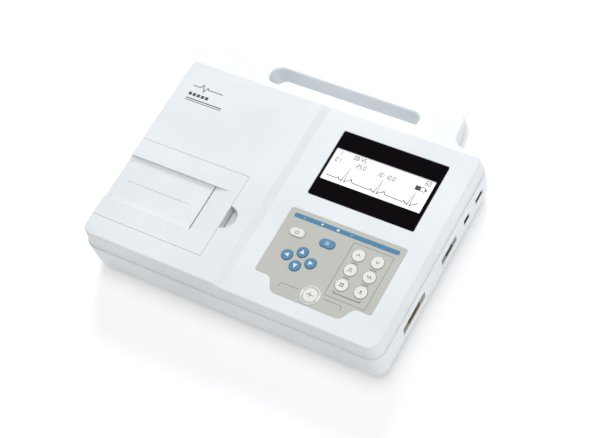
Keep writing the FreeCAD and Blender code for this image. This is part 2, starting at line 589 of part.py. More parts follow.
def key(name):
    """A key: a domed-edge cap, a flange under the casing and a stem over its switch."""
    top = RIGHT_TOP + KEY_RISE
    cap = key_solid(name, 0, KEY_FLANGE_TOP - 0.6, top)
    cap = cap.makeFillet(0.6, edges_where(cap, lambda p: p.z > top - 0.01))
    flange = key_solid(name, 1.0, KEY_FLANGE_TOP - 1.0, KEY_FLANGE_TOP)
    x, y = key_centre(name)
    stem = cyl_z(x, y, KEY_STEM_BOTTOM, KEY_FLANGE_TOP - 0.8, 2.4)
    return cap.fuse([flange, stem]).removeSplitter()


def save_keypad():
    sheet = plate(keypad_outline(0), RIGHT_TOP - OVERLAY, RIGHT_TOP)
    sheet = sheet.cut([key_hole(name, 50, 70) for name in key_names()])
    x, y = START_KEY
    ring_seat = cyl_z(x, y, 50, 70, RING_R)
    save("keypad_overlay", sheet.cut(ring_seat))
    ring = cyl_z(x, y, RIGHT_TOP - OVERLAY, RIGHT_TOP + 0.6, RING_R)
    ring = ring.makeFillet(0.4, edges_where(ring, lambda p: p.z > RIGHT_TOP + 0.5))
    save("start_key_ring", ring.cut(key_hole("key_start", 50, 70)))
    for name in key_names():
        save(name, key(name))
    board_top = KEYBOARD_Z + BOARD
    board = rounded_box(20, 132, -109, -31, KEYBOARD_Z, board_top, 3)
    posts = [(24, -105), (128, -105), (24, -35), (128, -35)]
    save("keypad_board", board.cut([cyl_z(x, y, 40, 50, 1.7) for x, y in posts]))
    switches = []
    for name in key_names():
        x, y = key_centre(name)
        body = box(x - 3, x + 3, y - 3, y + 3, board_top, board_top + 2.4)
        switches.append(body.fuse(cyl_z(x, y, board_top, KEY_STEM_BOTTOM - 0.8, 1.7)))
    save("key_switches", *switches)


def save_display():
    x0, x1, y0, y1 = WINDOW
    bottom = WINDOW_TOP - WINDOW_THICK
    save("display_window", rounded_box(x0, x1, y0, y1, bottom, WINDOW_TOP, 1.5))
    x0, x1, y0, y1 = VIEW
    glass = box(x0, x1, y0, y1, 54.4, bottom - 0.1)
    save("lcd_panel", glass)
    light = box(x0 - 2, x1 + 2, y0 - 3, y1 + 3, 51.2, 54.4)
    bezel = box(x0 - 3, x1 + 3, y0 - 5, y1 + 5, 50.0, 55.2)
    opening = box(x0 - 0.2, x1 + 0.2, y0 - 0.2, y1 + 0.2, 53, 60)
    seat = box(x0 - 2, x1 + 2, y0 - 3, y1 + 3, 49, 54.4)
    save("lcd_bezel", bezel.cut([opening, seat]))
    board = box(x0 - 3, x1 + 3, y0 - 8, y1 + 8, 48.4, 50.0)
    corners = [(x0 - 0.5, y0 - 6.5), (x1 + 0.5, y0 - 6.5), (x0 - 0.5, y1 + 6.5), (x1 + 0.5, y1 + 6.5)]
    save("lcd_board", board.cut([cyl_z(x, y, 40, 60, 1.4) for x, y in corners]), light)


# ---- electronics, power and connectors ----------------------------------------------------
def battery_screws():
    x0, x1, y0, y1 = BATTERY_DOOR
    return [(x0 + 4.6, (y0 + y1) / 2), (x1 - 4.6, (y0 + y1) / 2)]


def d_outline(y, z, half, height):
    """A D-shaped outline seen along X: wide side up."""
    return [(y - half, z + height / 2), (y + half, z + height / 2),
            (y + half - 1.6, z - height / 2), (y - half + 1.6, z - height / 2)]


def d_connector(name, pins):
    """A panel D connector: flange, D shell round a pierced insert, and a body on the board."""
    y, width, _ = PORT_HOLES[name]
    half = JACK_SPACING[name] / 2 - 4.1
    face = LIP_X - 6.5
    flange = box(face, face + 1, y - width / 2 - 1.5, y + width / 2 + 1.5, PORT_Z - 6.2, PORT_Z + 6.2)
    shell = prism(d_outline(y, PORT_Z, half, 8.0), "x", face, 5.5)
    shell = shell.cut(prism(d_outline(y, PORT_Z, half - 0.5, 7.0), "x", face + 1, 9))
    insert = prism(d_outline(y, PORT_Z, half - 0.9, 6.2), "x", face, 4.6)
    rear = box(face - 9, face, y - half - 1, y + half + 1, MAIN_Z + BOARD, PORT_Z + 5.5)
    body = flange.fuse([shell, insert, rear])
    per_row = (pins + 1) // 2
    holes = []
    for i in range(pins):
        row = 0 if i < per_row else 1
        count = per_row - row
        column = i - row * per_row - (count - 1) / 2
        holes.append(cyl_x(y + column * 2.76, PORT_Z + 1.42 - 2.84 * row, face + 1, face + 9, 0.6))
    jacks = [y - JACK_SPACING[name] / 2, y + JACK_SPACING[name] / 2]
    holes += [cyl_x(jack, PORT_Z, face - 1, face + 2, JACK_R) for jack in jacks]
    return body.cut(holes).removeSplitter()


def side_plate(y, z, half_y, half_z, x0, x1, r):
    """A rounded plate that lies across X."""
    flat = rounded_box(y - half_y, y + half_y, z - half_z, z + half_z, x0, x1, r)
    flat.rotate(V(0, 0, 0), V(1, 1, 1), 120)
    return flat


def save_right_ports():
    y = PORT_HOLES["usb_socket"][0]
    can = box(138, LIP_X - 0.8, y - 7.2, y + 7.2, PORT_Z - 3.5, PORT_Z + 3.5)
    mouth = box(143, LIP_X, y - 6.25, y + 6.25, PORT_Z - 2.6, PORT_Z + 2.6)
    tongue = box(142, LIP_X - 2.2, y - 5.6, y + 5.6, PORT_Z + 0.2, PORT_Z + 1.9)
    foot = box(138.5, 148, y - 6.5, y + 6.5, MAIN_Z + BOARD, PORT_Z - 3)
    save("usb_socket", can.cut(mouth).fuse([tongue, foot]).removeSplitter())
    y = PORT_HOLES["aux_socket"][0]
    block = box(140, LIP_X - 5, y - 4.9, y + 4.9, MAIN_Z + BOARD, PORT_Z + 3.2)
    nose = box(150, LIP_X - 1, y - 4.9, y + 4.9, PORT_Z - 3.2, PORT_Z + 3.2)
    bore = box(146, LIP_X, y - 3.6, y + 3.6, PORT_Z - 2.2, PORT_Z + 2.2)
    tongue = box(145, LIP_X - 3, y - 2.2, y + 2.2, PORT_Z - 0.5, PORT_Z + 0.5)
    save("aux_socket", block.fuse(nose).cut(bore).fuse(tongue).removeSplitter())
    save("serial_connector", d_connector("serial_connector", 9))
    save("patient_connector", d_connector("patient_connector", 15))


def save_mains_inlet():
    wall, y, z = -LIP_X, LEFT_HOLES["mains_inlet"][0], LEFT_PORT_Z
    body = box(SEAT_X, wall + 21, y - 13.5, y + 13.5, z - 9.5, z + 9.5)
    face = side_plate(y, z, 15.5, 11, SEAT_X - 1.8, SEAT_X, 3)
    socket = side_plate(y, z, 12.2, 8, wall - 3, wall + 16, 2.5)
    pins = [box(wall + 4.5, wall + 17, y + dy - 1, y + dy + 1, z + dz - 2, z + dz + 2)
            for dy, dz in ((-7, -1.5), (0, 2), (7, -1.5))]
    save("mains_inlet", body.fuse(face).cut(socket).fuse(pins).removeSplitter())


def save_power_switch():
    wall, y, z = -LIP_X, LEFT_HOLES["power_switch"][0], LEFT_PORT_Z
    case = box(SEAT_X, wall + 16, y - 9.5, y + 9.5, z - 6, z + 6)
    rim = side_plate(y, z, 10.8, 7.3, SEAT_X - 1.6, SEAT_X, 1)
    well = box(wall - 2, wall + 9, y - 8.2, y + 8.2, z - 4.8, z + 4.8)
    pivot = cyl_z(wall + ROCKER_DEPTH, y, z - 5.4, z + 5.4, 1.2 + RUN)
    save("power_switch", case.fuse(rim).cut([well, pivot]).removeSplitter())
    save("power_rocker", rocker(wall + ROCKER_DEPTH, y))


def rocker(x, y):
    """The switch's rocker with its trunnions, at rest in the off position."""
    shape = [(-4.6, -7.4), (-3.4, 0), (-4.6, 7.4), (1.5, 5.5), (1.5, -5.5)]
    corners = [V(x + a, y + b, LEFT_PORT_Z - 4.6) for a, b in shape]
    paddle = Part.Face(Part.makePolygon(corners + corners[:1])).extrude(V(0, 0, 9.2))
    paddle.rotate(V(x, y, 0), V(0, 0, 1), ROCKER_TILT)
    return paddle.fuse(cyl_z(x, y, LEFT_PORT_Z - 5.3, LEFT_PORT_Z + 5.3, 1.2))


def screw(x, y, seat, end, r):
    """A pan-head screw along Z: its head lies on the seat, on the side away from its end."""
    head = 1.2 if end < seat else -1.2
    return cyl_z(x, y, min(seat, end), max(seat, end), r).fuse(
        cyl_z(x, y, min(seat, seat + head), max(seat, seat + head), 2 * r))


def chip(x, y, width, depth, z, height):
    return box(x - width / 2, x + width / 2, y - depth / 2, y + depth / 2, z, z + height)


def board(outline, z, holes):
    return rounded_box(*outline, z, z + BOARD, 2).cut([cyl_z(x, y, z - 5, z + 5, 1.6) for x, y in holes])


def save_boards():
    """Main and power boards with their larger parts, on spacers held by small screws."""
    top = MAIN_Z + BOARD
    save("main_board", board(MAIN_BOARD, MAIN_Z, MAIN_HOLES),
         chip(70, -20, 20, 20, top, 1.6), chip(98, -22, 14, 10, top, 1.4), chip(62, 22, 12, 22, top, 2.0),
         chip(90, 30, 10, 10, top, 1.2), chip(112, -66, 16, 26, top, 5.0), chip(48, -62, 14, 14, top, 1.4),
         chip(74, -66, 8, 12, top, 1.8), chip(50, 56, 18, 8, top, 6.5))
    top = POWER_Z + BOARD
    save("power_board", board(POWER_BOARD, POWER_Z, POWER_HOLES),
         chip(-92, 41, 24, 26, top, 19), cyl_z(-116, 62, top, top + 22, 8), cyl_z(-92, 66, top, top + 14, 5),
         chip(-116, 27, 12, 26, top, 12), chip(-91, 14, 14, 12, top, 9))
    stands = [(x, y, MAIN_Z) for x, y in MAIN_HOLES] + [(x, y, POWER_Z) for x, y in POWER_HOLES]
    base = FLOOR_Z + WALL
    save("board_spacers", *[cyl_z(x, y, base, z, 3.0).cut(cyl_z(x, y, base, z, 1.45))
                            for x, y, z in stands])
    small = [screw(x, y, z + BOARD, z - 4.5, 1.4) for x, y, z in stands]
    small += [screw(x, y, FLOOR_Z, FLOOR_Z + 2.1, 1.05) for x, y in battery_screws()]
    save("small_screws", *small)


def save_battery():
    x0, x1, y0, y1 = BATTERY
    sleeve = rounded_box(x0 - 0.5, x1 + 0.5, y0 - 0.5, y1 + 0.5, FLOOR_Z + 2.1, FLOOR_Z + 20.6, 4)
    save("battery_pack", sleeve)
    door = rounded_box(*BATTERY_DOOR, FLOOR_Z, FLOOR_Z + 1.7, 3)
    save("battery_door", door.cut([cyl_z(x, y, 0, 20, 1.2) for x, y in battery_screws()]))


def save_speaker():
    x, y = SPEAKER
    z = FLOOR_Z + WALL
    cone = Part.makeCone(14, 8, 6, V(x, y, z), V(0, 0, 1))
    save("speaker", cyl_z(x, y, z, z + 1.5, 16).fuse([cone, cyl_z(x, y, z + 5, z + 10, 8)]))


def save_earth_stud():
    nut = cyl_x(EARTH_Y, LEFT_PORT_Z, EARTH_FLOOR - 2, EARTH_FLOOR, 5)
    save("earth_stud", cyl_x(EARTH_Y, LEFT_PORT_Z, -LIP_X, EARTH_FLOOR + 6, 3.0).fuse(nut))


def save_fasteners():
    save("case_screws", *[cyl_z(x, y, SCREW_HEAD_Z - 2, SCREW_HEAD_Z, 2.9).fuse(
        cyl_z(x, y, SCREW_HEAD_Z - 2, PARTING_Z + 9, 1.25)) for x, y in SCREWS])
    feet = []
    for x, y in FEET:
        foot = cyl_z(x, y, 0, FLOOR_Z + 1, FOOT_R)
        feet.append(foot.makeFillet(1.2, edges_where(foot, lambda p: p.z < 0.01)))
    save("rubber_feet", *feet)


def main():
    os.makedirs("parts", exist_ok=True)
    save("upper_case", upper_case())
    save("lower_case", lower_case())
    save("printer_door", printer_door())
    gear_span = (GEAR_FRONT, GEAR_FRONT + GEAR_THICK)
    save_platen(gear_span)
    save_motor(gear_span)
    save_roll()
    save_printer_frame()
    save_print_head()
    save_door_fittings()
    save_keypad()
    save_display()
    save_right_ports()
    save_mains_inlet()
    save_power_switch()
    save_boards()
    save_battery()
    save_speaker()
    save_earth_stud()
    save_fasteners()


main()
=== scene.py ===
"""Looks of the portable ECG machine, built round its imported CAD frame. Metres, +Z up."""
import json
import math

import bmesh
import bpy
from mathutils import Matrix, Vector


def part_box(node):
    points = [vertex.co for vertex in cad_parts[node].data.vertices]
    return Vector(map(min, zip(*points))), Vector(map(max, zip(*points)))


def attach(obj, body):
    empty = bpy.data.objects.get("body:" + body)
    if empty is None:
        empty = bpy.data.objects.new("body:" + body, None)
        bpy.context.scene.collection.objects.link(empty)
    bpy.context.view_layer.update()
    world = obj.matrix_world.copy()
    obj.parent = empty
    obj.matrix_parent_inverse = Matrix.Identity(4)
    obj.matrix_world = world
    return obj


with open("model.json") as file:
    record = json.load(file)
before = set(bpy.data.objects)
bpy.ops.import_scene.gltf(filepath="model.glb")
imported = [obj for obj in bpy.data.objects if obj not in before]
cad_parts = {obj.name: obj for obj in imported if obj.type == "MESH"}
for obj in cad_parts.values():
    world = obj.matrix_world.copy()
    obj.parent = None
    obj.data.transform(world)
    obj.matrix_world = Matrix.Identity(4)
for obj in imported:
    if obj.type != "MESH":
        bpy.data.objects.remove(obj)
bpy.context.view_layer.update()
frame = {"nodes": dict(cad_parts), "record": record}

MM = 0.001
NODES = frame["nodes"]
CRISP = math.radians(24)                 # edges sharper than this stay crisp on the CAD nodes
COLOUR_NOISE = (0.35, 0.65)              # part of the noise's range that the colours use
ROUGH_NOISE = (0.3, 0.7)                 # the same for the roughness
LIGHT_TINT = (0.97, 0.985, 1.0)          # slightly cool studio light
AIM = (0.0, 0.0, 0.03)
FLOOR_HALF = 6.0
ROUND_KEYS = ["key_lead_up", "key_lead_down", "key_gain", "key_filter", "key_mode", "key_mark"]
ARROW_KEYS = ["key_arrow_left", "key_arrow_right", "key_arrow_up", "key_arrow_down"]


# ---- materials ----------------------------------------------------------------------------
def srgb(r, g, b):
    """A linear colour from 0-255 display values."""
    return tuple((c / 255 / 12.92) if c / 255 <= 0.04045 else ((c / 255 + 0.055) / 1.055) ** 2.4
                 for c in (r, g, b)) + (1.0,)


def shader(name, colour, roughness, metallic=0.0, **sockets):
    mat = bpy.data.materials.new(name)
    mat.use_nodes = True
    bsdf = mat.node_tree.nodes["Principled BSDF"]
    bsdf.inputs["Base Color"].default_value = colour
    bsdf.inputs["Roughness"].default_value = roughness
    bsdf.inputs["Metallic"].default_value = metallic
    for socket, value in sockets.items():
        bsdf.inputs[socket.replace("_", " ")].default_value = value
    mat.diffuse_color = colour
    return mat


def noise(mat, scale, detail=4.0, stretch=(1, 1, 1)):
    """A noise value over the object's own coordinates, in metres."""
    tree = mat.node_tree
    coords = tree.nodes.new("ShaderNodeTexCoord")
    mapping = tree.nodes.new("ShaderNodeMapping")
    mapping.inputs["Scale"].default_value = stretch
    tex = tree.nodes.new("ShaderNodeTexNoise")
    tex.inputs["Scale"].default_value = scale
    tex.inputs["Detail"].default_value = detail
    tree.links.new(coords.outputs["Object"], mapping.inputs["Vector"])
    tree.links.new(mapping.outputs["Vector"], tex.inputs["Vector"])
    return tex.outputs["Fac"]


def vary_colour(mat, fac, darker, lighter):
    tree = mat.node_tree
    ramp = tree.nodes.new("ShaderNodeValToRGB")
    ramp.color_ramp.elements[0].position = COLOUR_NOISE[0]
    ramp.color_ramp.elements[1].position = COLOUR_NOISE[1]
    ramp.color_ramp.elements[0].color = darker
    ramp.color_ramp.elements[1].color = lighter
    tree.links.new(fac, ramp.inputs["Fac"])
    tree.links.new(ramp.outputs["Color"], tree.nodes["Principled BSDF"].inputs["Base Color"])


def vary_roughness(mat, fac, low, high):
    tree = mat.node_tree
    span = tree.nodes.new("ShaderNodeMapRange")
    span.inputs["From Min"].default_value = ROUGH_NOISE[0]
    span.inputs["From Max"].default_value = ROUGH_NOISE[1]
    span.inputs["To Min"].default_value = low
    span.inputs["To Max"].default_value = high
    tree.links.new(fac, span.inputs["Value"])
    tree.links.new(span.outputs["Result"], tree.nodes["Principled BSDF"].inputs["Roughness"])


def bump(mat, fac, height, strength=0.5):
    tree = mat.node_tree
    node = tree.nodes.new("ShaderNodeBump")
    node.inputs["Strength"].default_value = strength
    node.inputs["Distance"].default_value = height
    tree.links.new(fac, node.inputs["Height"])
    tree.links.new(node.outputs["Normal"], tree.nodes["Principled BSDF"].inputs["Normal"])


def moulded(name, colour, roughness, grain=2500.0, grain_height=0.00004, spread=0.03, **sockets):
    """Moulded plastic: a fine spark grain, a slow colour drift and handling polish."""
    mat = shader(name, colour, roughness, **sockets)
    darker = tuple(c * (1 - spread) for c in colour[:3]) + (1.0,)
    lighter = tuple(min(1.0, c * (1 + spread)) for c in colour[:3]) + (1.0,)
    vary_colour(mat, noise(mat, 14.0), darker, lighter)
    vary_roughness(mat, noise(mat, 55.0), roughness - 0.05, roughness + 0.06)
    bump(mat, noise(mat, grain, 2.0), grain_height)
    return mat


def metal(name, colour, roughness, stretch=(1, 1, 1)):
    """Bare metal; a stretch along one axis gives it a brushed direction."""
    mat = shader(name, colour, roughness, metallic=1.0)
    vary_roughness(mat, noise(mat, 400.0, stretch=stretch), roughness - 0.08, roughness + 0.12)
    bump(mat, noise(mat, 900.0, stretch=stretch), 0.00002, 0.3)
    return mat


MATERIALS = {
    "case_white": moulded("case_white", srgb(226, 230, 233), 0.42),
    "overlay_grey": moulded("overlay_grey", srgb(185, 186, 178), 0.5, grain=4000.0),
    "key_white": moulded("key_white", srgb(226, 227, 220), 0.45),
    "key_blue": moulded("key_blue", srgb(74, 130, 166), 0.42, spread=0.06),
    "ring_white": moulded("ring_white", srgb(236, 237, 235), 0.3),
    "window_pane": shader("window_pane", srgb(240, 240, 245), 0.04, Alpha=0.03, Specular_IOR_Level=0.2),
    # the LCD cell glows a little by its own emission, which brightens its pale ground beyond what the
    # lamps give
    "lcd_cell": moulded("lcd_cell", srgb(240, 240, 242), 0.3, spread=0.01,
                        Emission_Color=(1, 1, 1, 1), Emission_Strength=0.3),
    "steel": metal("steel", srgb(176, 178, 182), 0.32, (1, 12, 1)),
    "aluminium": metal("aluminium", srgb(196, 198, 202), 0.3, (1, 20, 1)),
    "ceramic": moulded("ceramic", srgb(206, 200, 186), 0.25),
    "rubber_black": moulded("rubber_black", srgb(34, 34, 36), 0.75, grain=1800.0, grain_height=0.0001),
    "gear_plastic": moulded("gear_plastic", srgb(226, 222, 208), 0.4),
    "bush_plastic": moulded("bush_plastic", srgb(62, 64, 68), 0.5),
    "motor_can": metal("motor_can", srgb(160, 162, 166), 0.35, (1, 10, 1)),
    "chart_paper": moulded("chart_paper", srgb(246, 240, 238), 0.7, grain=6000.0),
    "core_plastic": moulded("core_plastic", srgb(190, 190, 186), 0.5),
    "board_green": moulded("board_green", srgb(30, 96, 56), 0.35, spread=0.12),
    "black_plastic": moulded("black_plastic", srgb(30, 30, 32), 0.5, spread=0.1),
    "battery_wrap": moulded("battery_wrap", srgb(52, 92, 150), 0.25, spread=0.05),
    "grey_plastic": moulded("grey_plastic", srgb(228, 231, 233), 0.45),
    "socket_shell": metal("socket_shell", srgb(200, 200, 202), 0.25),
    "yellow_plate": metal("yellow_plate", srgb(214, 190, 118), 0.35),
    "brass": metal("brass", srgb(206, 176, 104), 0.3),
}


def dress_nodes():
    """Every CAD node gets its slot's material and smooth shading with crisp edges."""
    for part in frame["record"]["subparts"]:
        obj = NODES[part["node"]]
        obj.data.materials.clear()
        obj.data.materials.append(MATERIALS[part["material_slot"]])
        obj.data.shade_smooth()
        obj.data.set_sharp_from_angle(angle=CRISP)


# ---- camera, lights and floor -------------------------------------------------------------
def add_camera():
    azimuth, elevation, roll = (math.radians(a) for a in (46.0, 56.23, 20.0))
    target = Vector((29.9, -36.2, 58.0)) * MM
    distance = 1403.3 * MM
    forward = Vector((-math.sin(azimuth) * math.cos(elevation), math.cos(azimuth) * math.cos(elevation),
                      -math.sin(elevation)))
    level = forward.cross(Vector((0, 0, 1))).normalized()
    down = forward.cross(level)
    right = level * math.cos(roll) + down * math.sin(roll)
    up = right.cross(forward)
    data = bpy.data.cameras.new("camera")
    data.lens = 94.25
    data.sensor_width = 36.0
    camera = bpy.data.objects.new("camera", data)
    place = Matrix((right, up, -forward)).transposed().to_4x4()
    place.translation = target - forward * distance
    camera.matrix_world = place
    bpy.context.scene.collection.objects.link(camera)
    bpy.context.scene.camera = camera


def area_light(name, place, aim, size, power):
    data = bpy.data.lights.new(name, "AREA")
    data.shape = "DISK"
    data.size = size
    data.energy = power
    data.color = LIGHT_TINT
    light = bpy.data.objects.new(name, data)
    light.location = place
    light.rotation_euler = (Vector(aim) - Vector(place)).to_track_quat("-Z", "Y").to_euler()
    bpy.context.scene.collection.objects.link(light)


def add_floor():
    """A white paper floor that glows a little, so that it stays clean behind the machine."""
    h = FLOOR_HALF
    mesh = bpy.data.meshes.new("floor")
    mesh.from_pydata([(-h, -h, 0), (h, -h, 0), (h, h, 0), (-h, h, 0)], [], [(0, 1, 2, 3)])
    floor = bpy.data.objects.new("floor", mesh)
    mat = shader("floor_paper", srgb(252, 252, 252), 0.8, Emission_Color=(1.0, 1.0, 1.0, 1.0),
                 Emission_Strength=0.14)
    vary_roughness(mat, noise(mat, 30.0), 0.65, 0.8)
    mesh.materials.append(mat)
    bpy.context.scene.collection.objects.link(floor)


def add_studio():
    """A bright white surround with a key light behind, one overhead and a weak one at the right."""
    world = bpy.data.worlds.new("studio")
    world.use_nodes = True
    background = world.node_tree.nodes["Background"]
    background.inputs["Color"].default_value = (1.0, 1.0, 1.0, 1.0)
    background.inputs["Strength"].default_value = 0.46
    bpy.context.scene.world = world
    bpy.context.scene.view_settings.view_transform = "Standard"
    area_light("key", (-0.75, 1.75, 1.35), AIM, 1.1, 26.0)
    area_light("top", (0.1, 0.0, 2.0), AIM, 1.2, 13.5)
    area_light("side", (1.5, -0.3, 0.35), (0.1, 0.0, 0.03), 0.8, 4.0)
    add_floor()


# ---- mesh helpers -------------------------------------------------------------------------
def finish_piece(name, bm, material, body):
    """Turn a bmesh into an object that rides a body of the frame."""
    mesh = bpy.data.meshes.new(name)
    bmesh.ops.remove_doubles(bm, verts=bm.verts, dist=1e-7)
    bmesh.ops.recalc_face_normals(bm, faces=bm.faces)
    bm.to_mesh(mesh)
    bm.free()
    mesh.materials.append(material)
    obj = bpy.data.objects.new(name, mesh)
    bpy.context.scene.collection.objects.link(obj)
    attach(obj, body)


def slab(bm, outline, z0, z1):
    """A closed flat slab from an outline of (x, y) points."""
    low = [bm.verts.new((x, y, z0)) for x, y in outline]
    high = [bm.verts.new((x, y, z1)) for x, y in outline]
    bm.faces.new(high)
    bm.faces.new(list(reversed(low)))
    for i in range(len(outline)):
        j = (i + 1) % len(outline)
        bm.faces.new((low[i], low[j], high[j], high[i]))


def ring_slab(bm, outer, inner, z0, z1):
    """A closed flat slab between two outlines that have the same number of points."""
    rings = [[[bm.verts.new((x, y, z)) for x, y in path] for z in (z0, z1)] for path in (outer, inner)]
    for i in range(len(outer)):
        j = (i + 1) % len(outer)
        for level in (0, 1):
            bm.faces.new((rings[0][level][i], rings[0][level][j], rings[1][level][j], rings[1][level][i]))
        for ring in rings:
            bm.faces.new((ring[0][i], ring[0][j], ring[1][j], ring[1][i]))


def rounded(x0, x1, y0, y1, r, steps=6):
    """A rectangle's outline with rounded corners."""
    points = []
    corners = ((x1 - r, y0 + r, -90), (x1 - r, y1 - r, 0), (x0 + r, y1 - r, 90), (x0 + r, y0 + r, 180))
    for cx, cy, start in corners:
        for i in range(steps + 1):
            a = math.radians(start + 90 * i / steps)
            points.append((cx + r * math.cos(a), cy + r * math.sin(a)))
    return points


def stroke(bm, path, width, z0, z1, closed=False):
    """A line of constant width along a path of (x, y) points, as one closed slab with mitred corners."""
    count = len(path)
    sides = ([], [])
    for i, (x, y) in enumerate(path):
        before = path[i - 1] if i > 0 or closed else None
        after = path[(i + 1) % count] if i < count - 1 or closed else None
        here = Vector((x, y))
        a = (here - Vector(before)).normalized() if before else None
        b = (Vector(after) - here).normalized() if after else None
        a, b = a or b, b or a
        tangent = (a + b).normalized()
        normal = Vector((-tangent.y, tangent.x))
        reach = width / 2 / max(0.35, normal.dot(Vector((-a.y, a.x))))
        sides[0].append(here + normal * reach)
        sides[1].append(here - normal * reach)
    left = [[bm.verts.new((p.x, p.y, z)) for p in sides[0]] for z in (z0, z1)]
    right = [[bm.verts.new((p.x, p.y, z)) for p in sides[1]] for z in (z0, z1)]
    spans = range(count if closed else count - 1)
    for i in spans:
        j = (i + 1) % count
        bm.faces.new((left[1][i], left[1][j], right[1][j], right[1][i]))
        bm.faces.new((left[0][j], left[0][i], right[0][i], right[0][j]))
        bm.faces.new((left[0][i], left[0][j], left[1][j], left[1][i]))
        bm.faces.new((right[0][j], right[0][i], right[1][i], right[1][j]))
    if not closed:
        for i in (0, count - 1):
            bm.faces.new((left[0][i], left[1][i], right[1][i], right[0][i]))


# ---- printed marks ------------------------------------------------------------------------
INK = 0.05               # thickness of every printed layer, mm

SEGMENTS = {
    "a": ((0, 2), (1, 2)), "b": ((1, 2), (1, 1)), "c": ((1, 1), (1, 0)), "d": ((0, 0), (1, 0)),
    "e": ((0, 1), (0, 0)), "f": ((0, 2), (0, 1)), "g": ((0, 1), (1, 1)),
}
DIGITS = {"0": "abcdef", "1": "bc", "2": "abged", "3": "abgcd", "4": "fgbc", "5": "afgcd",
          "6": "afgedc", "7": "abc", "8": "abcdefg", "9": "abcfgd"}


def box_mm(node):
    low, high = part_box(node)
    return low / MM, high / MM


def in_metres(path):
    return [(x * MM, y * MM) for x, y in path]


class Layer:
    """Flat printed shapes in millimetres on one plane, gathered into one closed mesh."""

    def __init__(self, z):
        self.z = z
        self.bm = bmesh.new()

    def patch(self, outline):
        slab(self.bm, in_metres(outline), (self.z - INK) * MM, (self.z + INK) * MM)

    def line(self, path, width, closed=False):
        z0, z1 = (self.z - INK) * MM, (self.z + INK) * MM
        stroke(self.bm, in_metres(path), width * MM, z0, z1, closed)

    def dot(self, x, y, r):
        self.patch([(x + r * math.cos(a), y + r * math.sin(a)) for a in turn(0, 360, 20)[:-1]])

    def arc(self, x, y, r, start, end, width):
        self.line([(x + r * math.cos(a), y + r * math.sin(a)) for a in turn(start, end, 24)], width)

    def number(self, text, x, y, height):
        """Seven-segment numerals; a point, colon or slash is narrower than a digit."""
        wide = height * 0.42
        for mark in text:
            if mark in DIGITS:
                for segment in DIGITS[mark]:
                    ends = [(x + px * wide, y + py * height / 2) for px, py in SEGMENTS[segment]]
                    self.line(ends, height * 0.13)
                x += wide + height * 0.3
            elif mark == ".":
                self.dot(x, y, height * 0.09)
                x += height * 0.25
            elif mark == ":":
                self.dot(x, y + height * 0.3, height * 0.08)
                self.dot(x, y + height * 0.7, height * 0.08)
                x += height * 0.3
            elif mark == "/":
                self.line([(x, y), (x + wide * 0.7, y + height)], height * 0.1)
                x += height * 0.6

    def done(self, name, material, body, slot):
        finish_piece(name, self.bm, MATERIALS[material], body)


def turn(start, end, steps):
    """Angles in radians from start to end in degrees."""
    return [math.radians(start + (end - start) * i / steps) for i in range(steps + 1)]


def ink(colour, name, roughness=0.5):
    mat = shader(name, colour, roughness)
    vary_roughness(mat, noise(mat, 300.0), roughness - 0.06, roughness + 0.06)
    return mat


MATERIALS["ink_dark"] = ink(srgb(64, 64, 66), "ink_dark")
MATERIALS["ink_mid"] = ink(srgb(128, 130, 132), "ink_mid")
MATERIALS["ink_light"] = ink(srgb(222, 230, 234), "ink_light")
MATERIALS["ink_blue"] = ink(srgb(62, 122, 162), "ink_blue")
MATERIALS["lcd_ink"] = ink(srgb(34, 32, 44), "lcd_ink", 0.3)
MATERIALS["window_black"] = shader("window_black", srgb(7, 3, 8), 0.06, Specular_IOR_Level=0.08)


def add_window():
    """Black border printed round the display's clear pane."""
    low, high = box_mm("display_window")
    view_low, view_high = box_mm("lcd_panel")
    outer = rounded(low.x + 0.25, high.x - 0.25, low.y + 0.25, high.y - 0.25, 1.6)
    inner = rounded(view_low.x + 1.2, view_high.x - 1.2, view_low.y + 1.2, view_high.y - 1.2, 0.4)
    bm = bmesh.new()
    ring_slab(bm, in_metres(outer), in_metres(inner), (high.z - 0.02) * MM, (high.z + INK) * MM)
    finish_piece("window_border", bm, MATERIALS["window_black"], "root")


def beat(x, y):
    """One heart beat of the trace, as (x, y) points from its left end."""
    shape = ((0, 0), (10.5, -0.3), (12.3, 1.4), (13.6, -0.6), (15.4, -0.5), (16.2, -1.6), (18.3, 13.6),
             (19.0, -1.9), (20.0, -0.4), (23.6, 1.3), (24.6, 3.4), (26.4, 0.6), (28.0, 0))
    return [(x + px, y + py) for px, py in shape]


def battery_sign(layer, x, y):
    """An outlined battery, half full, with its left bottom corner at x, y."""
    wide, tall, cap = 9.5, 4.2, 1.4
    layer.line([(x, y), (x + wide, y), (x + wide, y + tall), (x, y + tall)], 0.6, closed=True)
    layer.patch([(x + 0.4, y + 0.4), (x + 5.2, y + 0.4), (x + 5.2, y + 3.8), (x + 0.4, y + 3.8)])
    nub = x + wide + 0.3
    layer.patch([(nub, y + 1.1), (nub + cap, y + 1.1), (nub + cap, y + 3.1), (nub, y + 3.1)])


def add_screen():
    """What the display shows: a trace of three beats, numerals and a battery sign."""
    low, high = box_mm("lcd_panel")
    row_1, row_2 = high.y - 7.0, high.y - 14.2
    beat_length, digit_height = 33.5, 4.2
    layer = Layer(high.z + INK)
    path = []
    for i in range(3):
        path += beat(low.x + 4.5 + i * beat_length, low.y + 7.2)
    layer.line(path[:-2], 0.75)
    for text, x, row in (("1", low.x + 5.5, row_1), ("08:45", low.x + 20.5, row_1),
                         ("60", high.x - 10.0, row_1), ("01", low.x + 5.0, row_2),
                         ("25.0", low.x + 27.0, row_2), ("10/10.0", low.x + 48.5, row_2)):
        layer.number(text, x, row, digit_height)
    battery_sign(layer, high.x - 17.0, row_2 - 0.2)
    layer.done("screen_marks", "lcd_ink", "root", "black_plastic")


